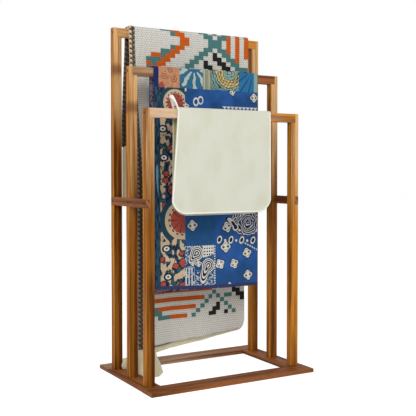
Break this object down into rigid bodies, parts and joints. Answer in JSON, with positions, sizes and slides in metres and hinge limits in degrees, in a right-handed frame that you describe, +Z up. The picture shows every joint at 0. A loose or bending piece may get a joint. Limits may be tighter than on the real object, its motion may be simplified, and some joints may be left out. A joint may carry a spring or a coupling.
{
  "type": "blanket ladder",
  "caption": "Free-standing wooden blanket ladder with stepped rails on a flat base frame; a knitted throw, a patchwork blanket and a fleece hang over the rails.",
  "frame": {"origin": "middle of the base frame's footprint, on the floor", "axes": "+Z up, +X along the rails to the right, +Y from the low front tier to the high back tier"},
  "size_m": [0.62, 0.422, 1.1952],
  "materials": {
    "oiled_wood": "oiled, satin, straight grain along each piece",
    "dark_steel": "black oxide, satin",
    "knit": "thick cream knit with orange, teal and black stepped figures",
    "lining": "plain woven cream cotton",
    "braid": "woven braid in orange, black and white",
    "patchwork": "printed cotton patches in blues, beige and peach",
    "navy_binding": "plain cotton",
    "fleece": "short soft pile",
    "piping": "smooth binding"
  },
  "bodies": {
    "ladder": {"base_front_board": "oiled_wood", "base_back_board": "oiled_wood", "base_left_board": "oiled_wood", "base_right_board": "oiled_wood", "front_left_post": "oiled_wood", "front_right_post": "oiled_wood", "front_top_rail": "oiled_wood", "middle_left_post": "oiled_wood", "middle_right_post": "oiled_wood", "middle_top_rail": "oiled_wood", "back_left_post": "oiled_wood", "back_right_post": "oiled_wood", "back_top_rail": "oiled_wood", "left_side_rail": "oiled_wood", "right_side_rail": "oiled_wood", "rail_screws": "dark_steel", "side_rail_screws": "dark_steel"},
    "knitted_throw": {"knit_throw": "knit", "knit_lining": "lining", "knit_braid": "braid", "lining_corner": "lining"},
    "patchwork": {"patchwork_blanket": "patchwork", "blanket_binding": "navy_binding"},
    "fleece": {"fleece_throw": "fleece", "fleece_piping": "piping"}
  },
  "joints": [
    {"name": "knitted_throw_lift", "type": "slide", "parent": "ladder", "child": "knitted_throw", "axis": [0, 0, 1], "range_m": [0, 1.2], "deforming": ["lining_corner"]},
    {"name": "patchwork_lift", "type": "slide", "parent": "ladder", "child": "patchwork", "axis": [0, 0, 1], "range_m": [0, 0.8]},
    {"name": "fleece_lift", "type": "slide", "parent": "ladder", "child": "fleece", "axis": [0, 0, 1], "range_m": [0, 0.4]}
  ]
}
